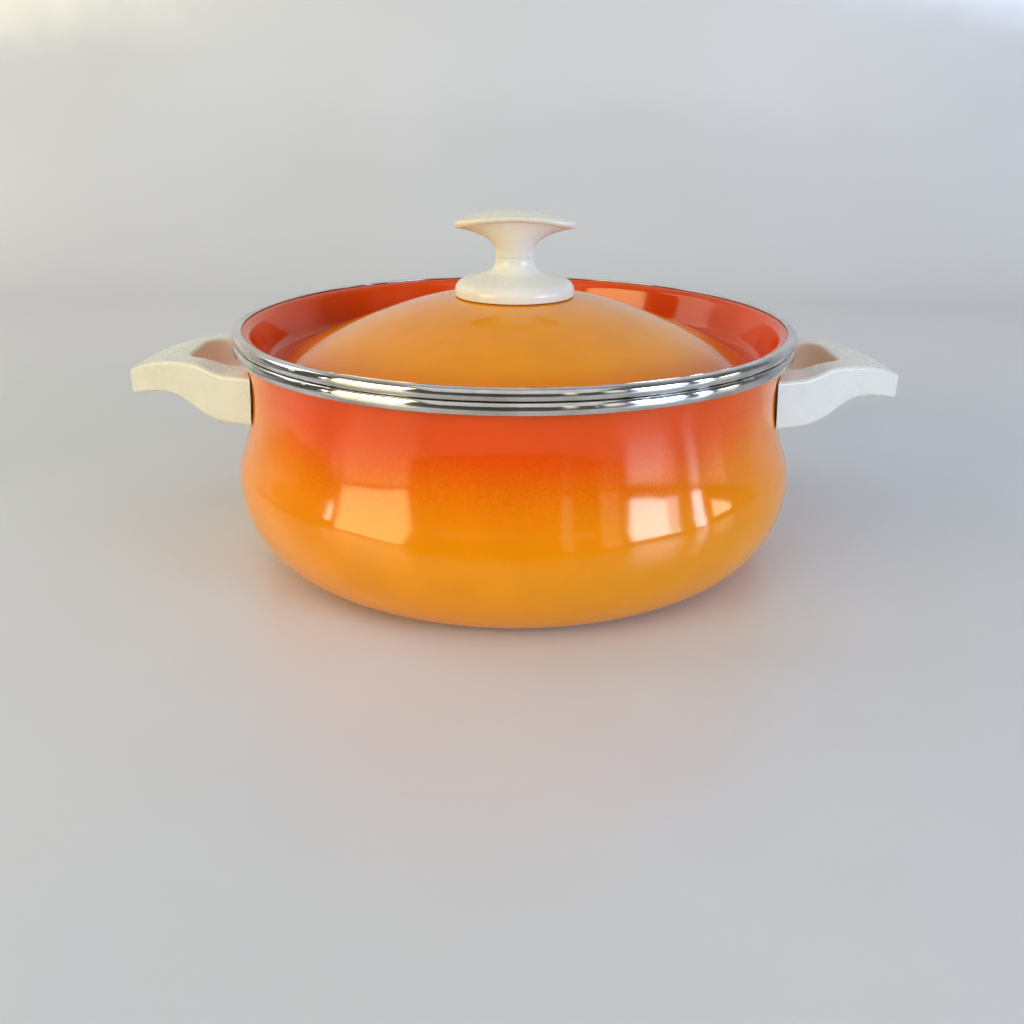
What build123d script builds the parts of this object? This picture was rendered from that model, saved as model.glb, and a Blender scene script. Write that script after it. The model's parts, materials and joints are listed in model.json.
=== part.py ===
"""Enamelled pressed-steel casserole: waisted pot, two loop handles, sunken lid and two-piece knob.

Millimetres, +Z up. The origin is the middle of the pot's flat base, and the handles lie along X.
Body "pot" holds the pot and its handles; body "lid" holds the lid and its knob.
"""
import math
import os

from build123d import *

# Trim bands and sheet
rim_radius = 127.0          # outside of both trim bands
wall = 1.2                  # steel sheet with its enamel on both sides
trim_sheet = 0.6            # stainless strip of the trim bands
trim_bulge = 0.5            # how far the bands' faces swell outward
fit = 0.1                   # clearance between fixed pieces
seat_gap = 0.3              # running clearance between the lid and the pot
screw_play = 0.2            # clearance around a screw's shank
overrun = 15.0              # how far blanks and cutters run past what bounds them

# Pot
pot_height = 100.8
base_inset = 30.0           # edge of the flat base, inward from the rim's outside
belly_swell = 2.4           # widest place, outward from the rim's outside
neck_inset = 6.0            # narrowest place, inward from the rim's outside
neck_drop = 20.0            # narrowest place, down from the rim's top
shoulder_radius = 34.0      # convex curve above the belly
neck_curve = 85.0           # concave curve of the neck
pot_band_height = 5.0
band_leg = 4.0              # how far the pot band reaches down inside the mouth

# Lid
lid_band_height = 4.5
lid_band_width = 4.2
crown_rise = 16.3           # crown of the lid above the pot's rim
crown_flat = 11.0           # radius of the flat pad under the knob
crown_radius = 140.0
crown_edge = 55.0           # where the crown passes into the flank
flank_radius = 400.0
trough_inset = 16.7         # lowest line of the trough, inward from the rim
trough_curve = 5.0
flange_curve = 4.0
flange_inset = 4.5          # centre of that curve, inward from the rim's outside
flange_edge_curve = 1.5

# Handles
handle_reach = 57.3         # from the pot's neck to the handle's end
handle_root_width = 88.0
handle_tip_width = 20.0
handle_side_swell = 4.0     # how far the sides bow outward in plan
handle_corner = 5.0         # rounding of the end in plan
handle_seat_ease = 5.0      # how much larger the seat's curve in plan is than the neck's
handle_root_above = 6.7    # root's upper side above the narrowest place of the neck
handle_root_below = 15.0
handle_straight = 2.5       # level stretch at the root
handle_hump = 3.7           # highest line of the upper side above its root
handle_hump_out = 20.5      # and how far out from the neck it lies
handle_arch = 10.0          # highest line of the underside above the root's lower edge
handle_arch_out = 34.0
handle_tip_drop = 5.4       # end's upper side below the root's
handle_tip_height = 11.4
handle_top_droop = 29.0     # degrees, slope of the upper side at the end
handle_low_droop = 18.0     # and of the underside
handle_hole_root = 40.0     # width of the finger hole at the neck
handle_hole_tip = 43.0      # and at its outer end
handle_hole_corner = 11.0
handle_bar = 30.6           # width of the bar outside the hole
handle_edge = 1.7           # rounding of the outer edges
handle_hole_edge = 1.4      # rounding of the hole's edges

# Handle fixings: strap with two ears, and a screw, washer and nut in each foot
strap_sheet = 1.0
strap_height = 12.0
strap_width = 72.0
strap_play = 0.4            # clearance around the strap's ends and edges
strap_gap = 0.2             # and behind and in front of it
ear_spacing = 60.0
ear_width = 10.0
ear_length = 10.0           # from the neck to the ears' ends
ear_sheet = 1.5
screw_out = 5.5             # fixing screw, outward from the neck
screw_diameter = 4.0
head_diameter = 7.6
head_height = 2.4
head_recess = 0.4           # screw head below the handle's underside
washer_diameter = 8.6
washer_thickness = 0.8
nut_width = 7.0
nut_height = 3.2
screw_end = 0.6             # screw's end above its nut
slot_width = 1.0
slot_depth = 1.1

# Knob
knob_base_radius = 27.2
knob_skirt = 2.1            # upright stretch of the skirt
knob_shoulder_curve = 5.0
knob_neck_radius = 8.6
knob_seam_rise = 16.4       # joint between base and grip above the lid's crown
knob_slope = 15.0           # degrees, of the base's upper side
knob_neck_curve = 6.5
knob_rim_width = 4.6
knob_boss_radius = 10.0
grip_length = 54.4
grip_depth = 26.0
grip_neck_height = 2.4
grip_flare_height = 9.8
grip_rise = 20.8            # top of the grip above the joint
grip_tip_drop = 5.0         # how much lower the top is at its two ends
grip_side_drop = 2.2        # and at its two sides
gasket_thickness = 1.0
knob_screw_diameter = 5.0
knob_head_diameter = 9.5
knob_head_height = 3.3
knob_washer_diameter = 15.0
knob_washer_thickness = 1.0
insert_diameter = 8.0
insert_length = 10.0
insert_depth = 0.5          # insert's end above the joint face
knob_screw_end = 1.0        # screw's end below the insert's top

# Pot section: a rounded corner up to the belly, a convex shoulder and a concave neck, all tangent
base_radius = rim_radius - base_inset
belly_radius = rim_radius + belly_swell
neck_radius = rim_radius - neck_inset
neck_height = pot_height - neck_drop
waist = belly_radius - neck_radius
waist_rise = math.sqrt(2 * waist * (shoulder_radius + neck_curve) - waist**2)
belly_height = neck_height - waist_rise
neck_turn = math.degrees(math.asin(waist_rise / (shoulder_radius + neck_curve)))
neck_centre = (neck_radius + neck_curve, neck_height)
lip_top = pot_height - trim_sheet - fit
band_bottom = pot_height - pot_band_height


def neck_at(curve, height):
    """Point at a height on the circle of this radius about the neck's centre."""
    return (neck_centre[0] - math.sqrt(curve**2 - (height - neck_height) ** 2), height)


def pot_line(inset):
    """Draw the pot's section moved inward by inset, from its axis to its lip."""
    Line((0, inset), (base_radius, inset))
    EllipticalCenterArc(
        (base_radius, belly_height),
        belly_radius - base_radius - inset,
        belly_height - inset,
        start_angle=270,
        arc_size=90,
    )
    CenterArc((belly_radius - shoulder_radius, belly_height), shoulder_radius - inset, 0, neck_turn)
    lip_angle = math.degrees(math.asin((lip_top - neck_height) / (neck_curve + inset)))
    CenterArc(neck_centre, neck_curve + inset, 180 + neck_turn, -neck_turn - lip_angle)


with BuildPart() as pot_shell:
    with BuildSketch(Plane.XZ) as pot_section:
        with BuildLine():
            pot_line(0)
            Line(neck_at(neck_curve, lip_top), neck_at(neck_curve + wall, lip_top))
            pot_line(wall)
            Line((0, wall), (0, 0))
        make_face()
    revolve(axis=Axis.Z)

# Pot band: a strip folded over the lip, with a hem under it and a leg inside the mouth
band_face = rim_radius - trim_bulge
leg_bottom = pot_height - band_leg
leg_face = neck_curve + wall + fit
leg_back = leg_face + trim_sheet
hem = neck_curve - fit
fold = pot_height - trim_sheet

with BuildPart() as pot_rim_band:
    with BuildSketch(Plane.XZ) as pot_band_section:
        with BuildLine():
            Line(neck_at(hem, band_bottom), (band_face, band_bottom))
            ThreePointArc(
                (band_face, band_bottom),
                (rim_radius, (band_bottom + pot_height) / 2),
                (band_face, pot_height),
            )
            Line((band_face, pot_height), neck_at(leg_back, pot_height))
            Line(neck_at(leg_back, pot_height), neck_at(leg_back, leg_bottom))
            Line(neck_at(leg_back, leg_bottom), neck_at(leg_face, leg_bottom))
            Line(neck_at(leg_face, leg_bottom), neck_at(leg_face, fold))
            Line(neck_at(leg_face, fold), (band_face - trim_sheet / 2, fold))
            Line((band_face - trim_sheet / 2, fold), (band_face - trim_sheet / 2, band_bottom + trim_sheet))
            Line((band_face - trim_sheet / 2, band_bottom + trim_sheet), neck_at(hem, band_bottom + trim_sheet))
            Line(neck_at(hem, band_bottom + trim_sheet), neck_at(hem, band_bottom))
        make_face()
    revolve(axis=Axis.Z)

# Lid section: level pad, crown, flank, trough, plug wall and flange, all tangent
crown_top = pot_height + crown_rise
lid_bottom = pot_height + seat_gap
lid_top = lid_bottom + lid_band_height
flange_top = lid_top - trim_sheet - fit
flange_radius = band_face - trim_sheet - fit
flange_bottom = lid_bottom + trim_sheet + fit
trough_radius = rim_radius - trough_inset
crown_turn = math.degrees(math.asin((crown_edge - crown_flat) / crown_radius))
crown_centre = (crown_flat, crown_top - crown_radius)
flank_centre = (
    crown_edge - flank_radius * math.sin(math.radians(crown_turn)),
    crown_centre[1] - (flank_radius - crown_radius) * math.cos(math.radians(crown_turn)),
)
flank_reach = flank_radius + trough_curve
flank_turn = math.degrees(math.asin((trough_radius - flank_centre[0]) / flank_reach))
trough_centre = (
    trough_radius,
    flank_centre[1] + flank_reach * math.cos(math.radians(flank_turn)),
)
flange_centre = (rim_radius - flange_inset, flange_top - flange_curve)

# The plug wall is the straight line that touches both curves on opposite sides
centre_angle = math.atan2(flange_centre[1] - trough_centre[1], flange_centre[0] - trough_radius)
centre_gap = math.dist(trough_centre, flange_centre)
draft = math.pi / 2 - centre_angle - math.asin((trough_curve + flange_curve) / centre_gap)
plug_draft = math.degrees(draft)


def lid_line(inset):
    """Draw the lid's section moved inward by inset, from its axis to its turned-down edge."""
    Line((0, crown_top - inset), (crown_flat, crown_top - inset))
    CenterArc(crown_centre, crown_radius - inset, 90, -crown_turn)
    CenterArc(flank_centre, flank_radius - inset, 90 - crown_turn, crown_turn - flank_turn)
    CenterArc(trough_centre, trough_curve + inset, 270 - flank_turn, 90 - plug_draft + flank_turn)
    low = trough_curve + inset
    high = flange_curve - inset
    Line(
        (trough_centre[0] + low * math.cos(draft), trough_centre[1] - low * math.sin(draft)),
        (flange_centre[0] - high * math.cos(draft), flange_centre[1] + high * math.sin(draft)),
    )
    CenterArc(flange_centre, high, 180 - plug_draft, plug_draft - 90)
    edge = (flange_radius - flange_edge_curve, flange_top - flange_edge_curve)
    Line((flange_centre[0], flange_top - inset), (edge[0], flange_top - inset))
    CenterArc(edge, flange_edge_curve - inset, 90, -90)
    Line((flange_radius - inset, edge[1]), (flange_radius - inset, flange_bottom))


screw_hole_radius = knob_screw_diameter / 2 + screw_play

with BuildPart() as lid_shell:
    with BuildSketch(Plane.XZ) as lid_section:
        with BuildLine():
            lid_line(0)
            Line((flange_radius, flange_bottom), (flange_radius - wall, flange_bottom))
            lid_line(wall)
            Line((0, crown_top - wall), (0, crown_top))
        make_face()
    revolve(axis=Axis.Z)
    with Locations((0, 0, crown_top)):
        Hole(screw_hole_radius)

with BuildPart() as lid_rim_band:
    with BuildSketch(Plane.XZ) as lid_band_section:
        with BuildLine():
            inner = rim_radius - lid_band_width
            back = band_face - trim_sheet
            ThreePointArc(
                (band_face, lid_bottom),
                (rim_radius, (lid_bottom + lid_top) / 2),
                (band_face, lid_top),
            )
            Polyline(
                (band_face, lid_top),
                (inner, lid_top),
                (inner, lid_top - trim_sheet),
                (back, lid_top - trim_sheet),
                (back, lid_bottom + trim_sheet),
                (inner, lid_bottom + trim_sheet),
                (inner, lid_bottom),
                (band_face, lid_bottom),
            )
        make_face()
    revolve(axis=Axis.Z)

# Knob: gasket on the lid's pad, a hollow skirted base, and the grip with its brass insert
base_bottom = crown_top + gasket_thickness
seam = crown_top + knob_seam_rise


def crown_height(radius):
    """Height of the lid's crown at a radius."""
    return crown_centre[1] + math.sqrt(crown_radius**2 - (radius - crown_flat) ** 2)


with BuildPart() as knob_gasket:
    with BuildSketch(Plane.XY.offset(crown_top)):
        Circle(knob_boss_radius)
        Circle(screw_hole_radius, mode=Mode.SUBTRACT)
    extrude(amount=gasket_thickness)

with BuildPart() as knob_base:
    with BuildSketch(Plane.XZ) as knob_base_section:
        rim_inner = knob_base_radius - knob_rim_width
        rim_seat = crown_height(rim_inner) + fit
        skirt_top = rim_seat + knob_skirt
        shoulder = (knob_base_radius - knob_shoulder_curve, skirt_top)
        slope = math.radians(knob_slope)
        slope_low = (
            shoulder[0] + knob_shoulder_curve * math.sin(slope),
            shoulder[1] + knob_shoulder_curve * math.cos(slope),
        )
        slope_end = knob_neck_radius + knob_neck_curve * (1 - math.sin(slope))
        slope_high = (slope_end, slope_low[1] + (slope_low[0] - slope_end) * math.tan(slope))
        hollow = (knob_neck_radius + knob_neck_curve, slope_high[1] + knob_neck_curve * math.cos(slope))
        with BuildLine():
            Line((0, base_bottom), (knob_boss_radius, base_bottom))
            Line((knob_boss_radius, base_bottom), (knob_boss_radius, skirt_top))
            Line((knob_boss_radius, skirt_top), (rim_inner, skirt_top))
            Line((rim_inner, skirt_top), (rim_inner, rim_seat))
            Line((rim_inner, rim_seat), (knob_base_radius, rim_seat))
            Line((knob_base_radius, rim_seat), (knob_base_radius, skirt_top))
            CenterArc(shoulder, knob_shoulder_curve, 0, 90 - knob_slope)
            Line(slope_low, slope_high)
            CenterArc(hollow, knob_neck_curve, 270 - knob_slope, knob_slope - 90)
            Line((knob_neck_radius, hollow[1]), (knob_neck_radius, seam))
            Line((knob_neck_radius, seam), (0, seam))
            Line((0, seam), (0, base_bottom))
        make_face()
    revolve(axis=Axis.Z)
    with Locations((0, 0, seam)):
        Hole(screw_hole_radius)

grip_top = seam + grip_rise
half_length = grip_length / 2
half_depth = grip_depth / 2
flare_start = seam + grip_neck_height
along_curve = (half_length**2 + grip_tip_drop**2) / (2 * grip_tip_drop)
across_curve = (half_depth**2 + grip_side_drop**2) / (2 * grip_side_drop)
insert_radius = insert_diameter / 2
insert_bottom = seam + insert_depth
insert_top = insert_bottom + insert_length


def grip_section(turn):
    """Half length, half depth and height of the grip's outline where its flare has turned so far."""
    rise = grip_flare_height * math.sin(turn)
    share = rise / (grip_rise - grip_neck_height)
    long_way = knob_neck_radius + (half_length - knob_neck_radius) * (1 - math.cos(turn))
    deep_way = knob_neck_radius + (half_depth - knob_neck_radius) * share
    return long_way, deep_way, flare_start + rise


with BuildPart() as knob_grip:
    flare_steps = 8
    for step in range(flare_steps + 1):
        long_way, deep_way, height = grip_section(math.radians(90 * step / flare_steps))
        with BuildSketch(Plane.XY.offset(height)):
            Ellipse(long_way, deep_way)
    loft(ruled=True)
    tip_outline = grip_section(math.radians(90))
    with BuildSketch(Plane.XY.offset(tip_outline[2])):
        Ellipse(tip_outline[0], tip_outline[1])
    with BuildSketch(Plane.XY.offset(grip_top)):
        Ellipse(half_length, half_depth)
    loft(ruled=True)
    with BuildSketch(Plane.XY.offset(seam)):
        Circle(knob_neck_radius)
    extrude(amount=grip_neck_height)
    with BuildSketch(Plane.XZ) as barrel:
        with BuildLine():
            ends = half_length + fit
            spine = grip_top - across_curve
            low_end = grip_top - along_curve + math.sqrt(along_curve**2 - ends**2)
            ThreePointArc((-ends, low_end), (0, grip_top), (ends, low_end))
            Polyline((ends, low_end), (ends, spine), (-ends, spine), (-ends, low_end))
        make_face()
    revolve(axis=Axis((0, 0, spine), (1, 0, 0)), mode=Mode.INTERSECT)
    with BuildSketch(Plane.XY.offset(seam)):
        Circle(insert_radius + fit / 2)
    extrude(amount=insert_top - seam, mode=Mode.SUBTRACT)

with BuildPart() as knob_insert:
    with BuildSketch(Plane.XY.offset(insert_bottom)):
        Circle(insert_radius)
        Circle(knob_screw_diameter / 2 + fit / 2, mode=Mode.SUBTRACT)
    extrude(amount=insert_length)

under_lid = crown_top - wall
head_top = under_lid - knob_washer_thickness

with BuildPart() as knob_washer:
    with BuildSketch(Plane.XY.offset(head_top)):
        Circle(knob_washer_diameter / 2)
        Circle(knob_screw_diameter / 2 + fit, mode=Mode.SUBTRACT)
    extrude(amount=knob_washer_thickness)

with BuildPart() as knob_screw:
    with BuildSketch(Plane.XY.offset(head_top - knob_head_height)):
        Circle(knob_head_diameter / 2)
    extrude(amount=knob_head_height)
    fillet(knob_screw.edges().filter_by(GeomType.CIRCLE).sort_by(Axis.Z)[0], knob_head_height / 2)
    with BuildSketch(Plane.XY.offset(head_top)):
        Circle(knob_screw_diameter / 2)
    extrude(amount=insert_top - knob_screw_end - head_top)
    with BuildSketch(Plane.XY.offset(head_top - knob_head_height)):
        Rectangle(knob_head_diameter + overrun, slot_width)
    extrude(amount=slot_depth, mode=Mode.SUBTRACT)

# Handles: the right one is drawn and the left one is its mirror image
root_top = neck_height + handle_root_above
root_bottom = neck_height - handle_root_below
tip_x = neck_radius + handle_reach
tip_top = root_top - handle_tip_drop
tip_bottom = tip_top - handle_tip_height
straight_end = neck_radius + handle_straight
inside = neck_radius - overrun
above = root_top + overrun

# Places of the fixings: strap and ears at the middle of the root, nuts on the ears, screws from below
fixing_x = neck_radius + screw_out
fixing_points = ((fixing_x, ear_spacing / 2), (fixing_x, -ear_spacing / 2))
ear_end = neck_radius + ear_length
ear_middle = neck_height - (handle_root_below - handle_root_above) / 2
ear_top = ear_middle + ear_sheet / 2
washer_seat = root_bottom + head_recess + head_height + washer_thickness
shank_hole_radius = screw_diameter / 2 + screw_play
screw_tip = ear_top + nut_height + screw_end
strap_angle = math.degrees(strap_width / 2 / neck_radius)
relief_angle = math.degrees((strap_width / 2 + strap_play) / neck_radius)


def strap_plane(angle):
    """Upright plane through the pot's axis, turned this many degrees to the right of the handle."""
    turn = math.radians(angle)
    return Plane(
        origin=(0, 0, 0),
        x_dir=(math.cos(turn), -math.sin(turn), 0),
        z_dir=(-math.sin(turn), -math.cos(turn), 0),
    )


def strap_outline(back, front, height):
    """Draw an outline that follows the neck, between two circles about the neck's centre."""
    low = ear_middle - height / 2
    high = ear_middle + height / 2
    ThreePointArc(neck_at(back, low), neck_at(back, ear_middle), neck_at(back, high))
    ThreePointArc(neck_at(front, low), neck_at(front, ear_middle), neck_at(front, high))
    Line(neck_at(back, low), neck_at(front, low))
    Line(neck_at(back, high), neck_at(front, high))


with BuildPart() as right_handle:
    with BuildSketch(Plane.XZ) as handle_side:
        with BuildLine():
            Spline(
                (straight_end, root_top),
                (neck_radius + handle_hump_out, root_top + handle_hump),
                (tip_x, tip_top),
                tangents=((1, 0), (1, 0), (1, -math.tan(math.radians(handle_top_droop)))),
            )
            Spline(
                (straight_end, root_bottom),
                (neck_radius + handle_arch_out, root_bottom + handle_arch),
                (tip_x, tip_bottom),
                tangents=((1, 0), (1, 0), (1, -math.tan(math.radians(handle_low_droop)))),
            )
            Line((tip_x, tip_top), (tip_x, tip_bottom))
            Polyline(
                (straight_end, root_top),
                (inside, root_top),
                (inside, root_bottom),
                (straight_end, root_bottom),
            )
        make_face()
    extrude(amount=handle_root_width, both=True)
    with BuildSketch(Plane.XY.offset(root_bottom - overrun)) as handle_plan:
        root_half = handle_root_width / 2
        tip_half = handle_tip_width / 2
        root_x = math.sqrt(neck_radius**2 - root_half**2)
        middle = ((root_x + tip_x) / 2, (root_half + tip_half) / 2 + handle_side_swell)
        with BuildLine():
            ThreePointArc((root_x, root_half), middle, (tip_x, tip_half))
            ThreePointArc((root_x, -root_half), (middle[0], -middle[1]), (tip_x, -tip_half))
            Line((tip_x, tip_half), (tip_x, -tip_half))
            Polyline(
                (root_x, root_half),
                (inside, root_half),
                (inside, -root_half),
                (root_x, -root_half),
            )
        make_face()
        fillet(handle_plan.vertices().group_by(Axis.X)[-1], handle_corner)
    extrude(amount=above - root_bottom + overrun, mode=Mode.INTERSECT)
    with BuildSketch(Plane.XY.offset(root_bottom - overrun)) as finger_hole:
        hole_end = tip_x - handle_bar
        hole_taper = (handle_hole_root - handle_hole_tip) / 2 / (hole_end - neck_radius)
        hole_inside = handle_hole_root / 2 + hole_taper * (neck_radius - inside)
        hole_half = handle_hole_tip / 2
        Polygon(
            (inside, -hole_inside),
            (hole_end, -hole_half),
            (hole_end, hole_half),
            (inside, hole_inside),
            align=None,
        )
        fillet(finger_hole.vertices().group_by(Axis.X)[-1], handle_hole_corner)
    extrude(amount=above - root_bottom + overrun, mode=Mode.SUBTRACT)
    with BuildSketch(Plane.XZ) as root_face:
        top_seat = neck_at(neck_curve - fit, root_top)[0]
        low_seat = neck_at(neck_curve - fit, root_bottom)[0]
        lean = (low_seat - top_seat) / (root_top - root_bottom)
        seat_axis = -handle_seat_ease
        Polygon(
            (seat_axis, root_bottom - overrun),
            (low_seat + overrun * lean, root_bottom - overrun),
            (top_seat - overrun * lean, above),
            (seat_axis, above),
            align=None,
        )
    revolve(axis=Axis((seat_axis, 0, 0), (0, 0, 1)), mode=Mode.SUBTRACT)
    rims = right_handle.edges() - right_handle.faces().filter_by(GeomType.CONE).edges()
    upright = rims.filter_by(Axis.Z)
    bends = rims.filter_by_position(Axis.X, straight_end - fit, straight_end + fit)
    rims = rims - upright - bends
    hole_side = max(hole_inside, hole_half) + fit
    hole_rims = rims.filter_by_position(Axis.Y, -hole_side, hole_side)
    hole_rims = hole_rims.filter_by_position(Axis.X, 0, hole_end + fit)
    fillet(rims - hole_rims, handle_edge)
    fillet(hole_rims, handle_hole_edge)
    # Screw holes from below, each with a recess for the washer and the head
    with BuildSketch(Plane.XY.offset(root_bottom)):
        with Locations(*fixing_points):
            Circle(washer_diameter / 2 + fit)
    extrude(amount=washer_seat - root_bottom, mode=Mode.SUBTRACT)
    with BuildSketch(Plane.XY.offset(washer_seat)):
        with Locations(*fixing_points):
            Circle(shank_hole_radius)
    extrude(amount=ear_middle - washer_seat, mode=Mode.SUBTRACT)
    # Slots for the ears and pockets for the nuts, open towards the pot
    with BuildSketch(Plane.XY.offset(ear_top - ear_sheet - fit)):
        for side in (-1, 1):
            with Locations(((ear_end + fit + inside) / 2, side * ear_spacing / 2)):
                Rectangle(ear_end + fit - inside, ear_width + 2 * fit)
    extrude(amount=ear_sheet + 2 * fit, mode=Mode.SUBTRACT)
    with BuildSketch(Plane.XY.offset(ear_middle)):
        pocket_end = fixing_x + nut_width / 2 + fit
        for side in (-1, 1):
            with Locations(((pocket_end + inside) / 2, side * ear_spacing / 2)):
                Rectangle(pocket_end - inside, nut_width + 2 * fit)
    extrude(amount=screw_tip + fit - ear_middle, mode=Mode.SUBTRACT)
    # Relief behind the feet for the strap
    with BuildSketch(strap_plane(relief_angle)):
        with BuildLine():
            relief_front = neck_curve - strap_sheet - 2 * strap_gap
            strap_outline(neck_curve, relief_front, strap_height + 2 * strap_play)
        make_face()
    revolve(axis=Axis.Z, revolution_arc=2 * relief_angle, mode=Mode.SUBTRACT)

with BuildPart() as right_handle_bracket:
    with BuildSketch(Plane.XY.offset(ear_middle - ear_sheet / 2)):
        for side in (-1, 1):
            with Locations(((ear_end + inside) / 2, side * ear_spacing / 2)):
                Rectangle(ear_end - inside, ear_width)
        Circle(neck_at(neck_curve - strap_gap - strap_sheet / 2, ear_middle)[0], mode=Mode.SUBTRACT)
        with Locations(*fixing_points):
            Circle(shank_hole_radius, mode=Mode.SUBTRACT)
    extrude(amount=ear_sheet)
    with BuildSketch(strap_plane(strap_angle)):
        with BuildLine():
            strap_back = neck_curve - strap_gap
            strap_outline(strap_back, strap_back - strap_sheet, strap_height)
        make_face()
    revolve(axis=Axis.Z, revolution_arc=2 * strap_angle)

with BuildPart() as right_handle_washers:
    with BuildSketch(Plane.XY.offset(washer_seat - washer_thickness)):
        with Locations(*fixing_points):
            Circle(washer_diameter / 2)
            Circle(shank_hole_radius, mode=Mode.SUBTRACT)
    extrude(amount=washer_thickness)

with BuildPart() as right_handle_screws:
    head_bottom = root_bottom + head_recess
    with BuildSketch(Plane.XY.offset(head_bottom)):
        with Locations(*fixing_points):
            Circle(head_diameter / 2)
    extrude(amount=head_height)
    with BuildSketch(Plane.XY.offset(head_bottom + head_height)):
        with Locations(*fixing_points):
            Circle(screw_diameter / 2)
    extrude(amount=screw_tip - head_bottom - head_height - fit)
    with BuildSketch(Plane.XY.offset(head_bottom)):
        with Locations(*fixing_points):
            Rectangle(head_diameter + overrun, slot_width)
    extrude(amount=slot_depth, mode=Mode.SUBTRACT)

with BuildPart() as right_handle_nuts:
    with BuildSketch(Plane.XY.offset(ear_top)):
        with Locations(*fixing_points):
            Rectangle(nut_width, nut_width)
            Circle(screw_diameter / 2 + fit / 2, mode=Mode.SUBTRACT)
    extrude(amount=nut_height)

with BuildPart() as left_handle:
    mirror(right_handle.part, about=Plane.YZ)

with BuildPart() as left_handle_bracket:
    mirror(right_handle_bracket.part, about=Plane.YZ)

with BuildPart() as left_handle_washers:
    mirror(right_handle_washers.part, about=Plane.YZ)

with BuildPart() as left_handle_screws:
    mirror(right_handle_screws.part, about=Plane.YZ)

with BuildPart() as left_handle_nuts:
    mirror(right_handle_nuts.part, about=Plane.YZ)

pieces = {
    "pot_shell": pot_shell,
    "pot_rim_band": pot_rim_band,
    "left_handle": left_handle,
    "right_handle": right_handle,
    "left_handle_bracket": left_handle_bracket,
    "right_handle_bracket": right_handle_bracket,
    "left_handle_screws": left_handle_screws,
    "right_handle_screws": right_handle_screws,
    "left_handle_washers": left_handle_washers,
    "right_handle_washers": right_handle_washers,
    "left_handle_nuts": left_handle_nuts,
    "right_handle_nuts": right_handle_nuts,
    "lid_shell": lid_shell,
    "lid_rim_band": lid_rim_band,
    "knob_base": knob_base,
    "knob_grip": knob_grip,
    "knob_insert": knob_insert,
    "knob_screw": knob_screw,
    "knob_washer": knob_washer,
    "knob_gasket": knob_gasket,
}

os.makedirs("parts", exist_ok=True)
for name, piece in pieces.items():
    piece.part.label = name
    export_step(piece.part, f"parts/{name}.step")
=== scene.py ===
"""Looks for an enamelled casserole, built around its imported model: pot, lid, bands, handles and knob."""

import json
import logging
import math
from dataclasses import dataclass
from enum import Enum

import bpy
import numpy as np
from mathutils import Matrix, Vector

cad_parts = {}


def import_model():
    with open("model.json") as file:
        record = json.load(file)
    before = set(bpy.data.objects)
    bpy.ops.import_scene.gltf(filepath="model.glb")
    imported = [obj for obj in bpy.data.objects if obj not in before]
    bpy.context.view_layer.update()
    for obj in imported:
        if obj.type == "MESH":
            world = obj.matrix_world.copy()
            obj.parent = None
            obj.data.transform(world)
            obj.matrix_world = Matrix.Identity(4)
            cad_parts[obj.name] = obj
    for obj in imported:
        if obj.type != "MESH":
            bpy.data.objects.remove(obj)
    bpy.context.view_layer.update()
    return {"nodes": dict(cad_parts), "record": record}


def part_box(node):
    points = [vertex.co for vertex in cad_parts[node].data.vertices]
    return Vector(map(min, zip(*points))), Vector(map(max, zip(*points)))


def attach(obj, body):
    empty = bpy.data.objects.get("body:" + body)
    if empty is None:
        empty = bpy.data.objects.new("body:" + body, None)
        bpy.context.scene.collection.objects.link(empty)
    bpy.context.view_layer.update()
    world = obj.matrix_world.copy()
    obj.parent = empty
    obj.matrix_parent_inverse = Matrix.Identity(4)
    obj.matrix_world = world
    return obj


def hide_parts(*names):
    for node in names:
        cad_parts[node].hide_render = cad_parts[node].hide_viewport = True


LOG = logging.getLogger("casserole")
MM = 0.001
SMOOTH_ANGLE = math.radians(32)
SAME_POINT = 1e-7           # metres below which neighbours in a section are one point
MERGE_DIGITS = 8            # decimals of a metre to which points of a grid are compared

ENAMELLED_SHEET = 1.2 * MM  # steel sheet with its enamel on both sides
TRIM_SHEET = 0.6 * MM       # stainless strip of the bands
TRIM_BULGE = 0.5 * MM       # how far a band's face swells outward
TRIM_ROLL = 0.9 * MM        # rounding of a band's edges
FIT = 0.1 * MM              # clearance between fixed pieces
SCREW_HOLE = 2.7 * MM       # radius of the hole for the knob's screw
SENSOR = 36.0               # width of the camera's sensor in millimetres

Tint = tuple[float, float, float]
Point = tuple[float, float]
Piece = bpy.types.Object
Material = bpy.types.Material
Tree = bpy.types.NodeTree
Node = bpy.types.Node
Socket = bpy.types.NodeSocket


# Curves and surfaces


def arc(centre: Point, radius: float, start: float, end: float, count: int) -> np.ndarray:
    """Points on a circle: the centre plus the radius times the cosine and sine of each angle.

    Args:
        centre: Centre as (across, up).
        radius: Radius of the circle.
        start: First angle in degrees.
        end: Last angle in degrees.
        count: Number of points, both ends included.

    Returns:
        Array of (count, 2) points.
    """
    return oval(centre, (radius, radius), start, end, count)


def oval(centre: Point, radii: Point, start: float, end: float, count: int) -> np.ndarray:
    """Points on an ellipse: the centre plus each half axis times the cosine or sine of the angle.

    Args:
        centre: Centre as (across, up).
        radii: Half axes as (across, up).
        start: First angle in degrees.
        end: Last angle in degrees.
        count: Number of points, both ends included.

    Returns:
        Array of (count, 2) points.
    """
    turn = np.radians(np.linspace(start, end, count))
    return np.stack([centre[0] + radii[0] * np.cos(turn), centre[1] + radii[1] * np.sin(turn)], 1)


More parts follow.
